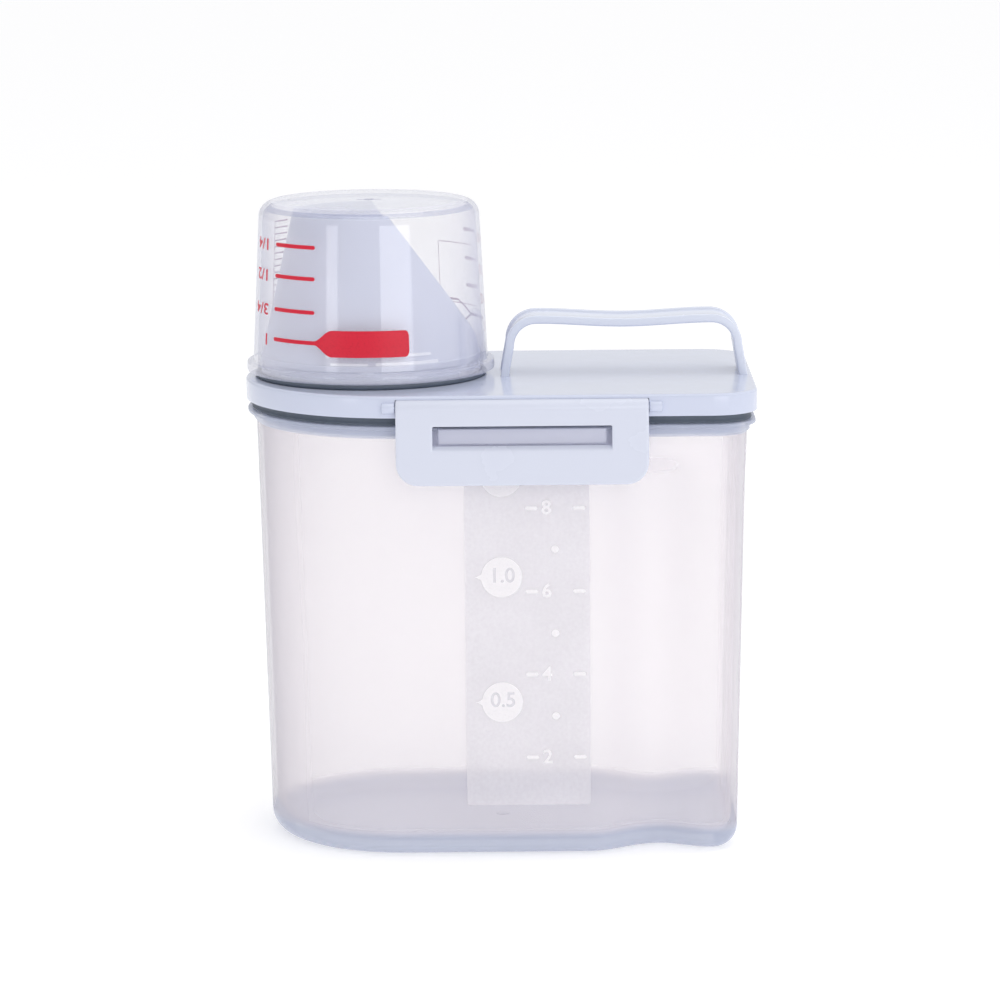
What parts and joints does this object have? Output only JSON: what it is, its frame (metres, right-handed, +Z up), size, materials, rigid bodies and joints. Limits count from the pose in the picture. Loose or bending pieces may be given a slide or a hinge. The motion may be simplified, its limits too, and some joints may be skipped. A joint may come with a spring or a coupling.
{
  "type": "rice bin",
  "caption": "Clear hand-gripped grain bin with a latched lift-off lid, a pour spout capped by a measuring cup, and a carrying strap.",
  "frame": {"origin": "on the table, under the middle of the bounding box in plan", "axes": "+Z up; +X along the length, from the pouring end to the strap end; the front, with the scale label, faces -Y"},
  "size_m": [0.1742, 0.1176, 0.2203],
  "materials": {
    "clear": "milky translucent polypropylene",
    "label": "frosted film with white level marks",
    "lid": "polished pale periwinkle",
    "latch": "polished pale periwinkle",
    "strap": "satin pale periwinkle",
    "seal": "dark grey silicone",
    "spout": "satin light blue",
    "cup": "clear polypropylene with red level marks",
    "pin": "plain moulded rod"
  },
  "bodies": {
    "container": {"container": "clear", "scale_label": "label"},
    "lid": {"lid": "lid", "lid_gasket": "seal", "pour_spout": "spout", "spout_gasket": "seal", "carry_strap": "strap", "front_hinge_pin": "pin", "rear_hinge_pin": "pin"},
    "cup": {"measuring_cup": "cup"},
    "front_latch": {"front_latch": "latch"},
    "rear_latch": {"rear_latch": "latch"}
  },
  "joints": [
    {"name": "lid_lift", "type": "slide", "parent": "container", "child": "lid", "axis": [0, 0, 1], "range_m": [0, 0.08]},
    {"name": "cup_lift", "type": "slide", "parent": "lid", "child": "cup", "axis": [0, 0, 1], "range_m": [0, 0.062]},
    {"name": "front_latch_swing", "type": "hinge", "parent": "lid", "child": "front_latch", "pos_m": [0.0077, -0.0539, 0.1559], "axis": [-1, 0, 0], "range_deg": [-4.7, 90]},
    {"name": "rear_latch_swing", "type": "hinge", "parent": "lid", "child": "rear_latch", "pos_m": [0.0077, 0.0539, 0.1559], "axis": [1, 0, 0], "range_deg": [-4.7, 90]}
  ]
}
